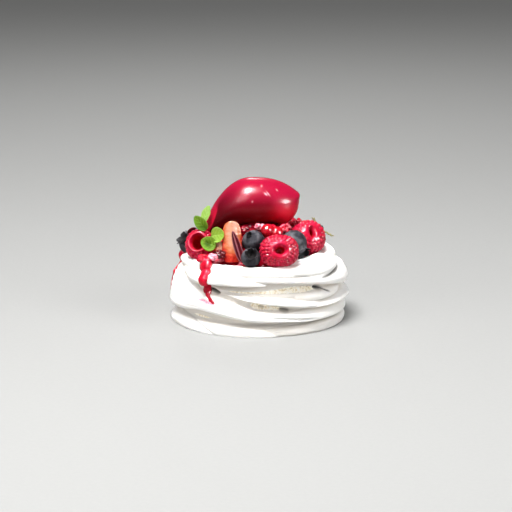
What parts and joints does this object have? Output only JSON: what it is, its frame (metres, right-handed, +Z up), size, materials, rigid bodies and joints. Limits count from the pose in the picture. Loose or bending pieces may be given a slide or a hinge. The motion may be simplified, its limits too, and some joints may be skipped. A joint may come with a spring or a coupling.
{
  "type": "pavlova",
  "caption": "Small round pavlova: folded meringue nest topped with berry compote, mixed berries, leaves and an egg-shaped scoop of red sorbet.",
  "frame": {"origin": "middle of the nest's flat underside", "axes": "+Z up, -Y towards the front of the pudding, where the coulis runs down on the left"},
  "size_m": [0.0941, 0.0917, 0.0745],
  "materials": {
    "meringue": "satin",
    "coulis": "gloss",
    "sorbet": "gloss",
    "raspberry": "gloss",
    "blueberry": "satin",
    "strawberry": "gloss",
    "currant": "gloss",
    "micro_leaf": "satin",
    "dark_leaf": "satin",
    "herb": "satin"
  },
  "bodies": {
    "root": {"meringue_nest": "meringue", "berry_compote": "coulis", "sorbet_quenelle": "sorbet", "raspberry_front": "raspberry", "raspberry_right": "raspberry", "raspberry_left": "raspberry", "raspberry_back_right": "raspberry", "raspberry_back_left": "raspberry", "blueberry_front_upper": "blueberry", "blueberry_front_lower": "blueberry", "blueberry_right": "blueberry", "blueberry_left": "blueberry", "blueberry_back_right": "blueberry", "blueberry_back_middle": "blueberry", "blueberry_back_left": "blueberry", "strawberry_front": "strawberry", "strawberry_side": "strawberry", "strawberry_back": "strawberry", "currant_front_left": "currant", "currant_front_right": "currant", "currant_back": "currant", "leaf_left": "micro_leaf", "leaf_behind": "micro_leaf", "leaf_right": "micro_leaf", "leaf_front": "micro_leaf", "leaf_dark_front": "dark_leaf", "leaf_dark_back": "dark_leaf", "herb_sprig": "herb"}
  },
  "joints": []
}
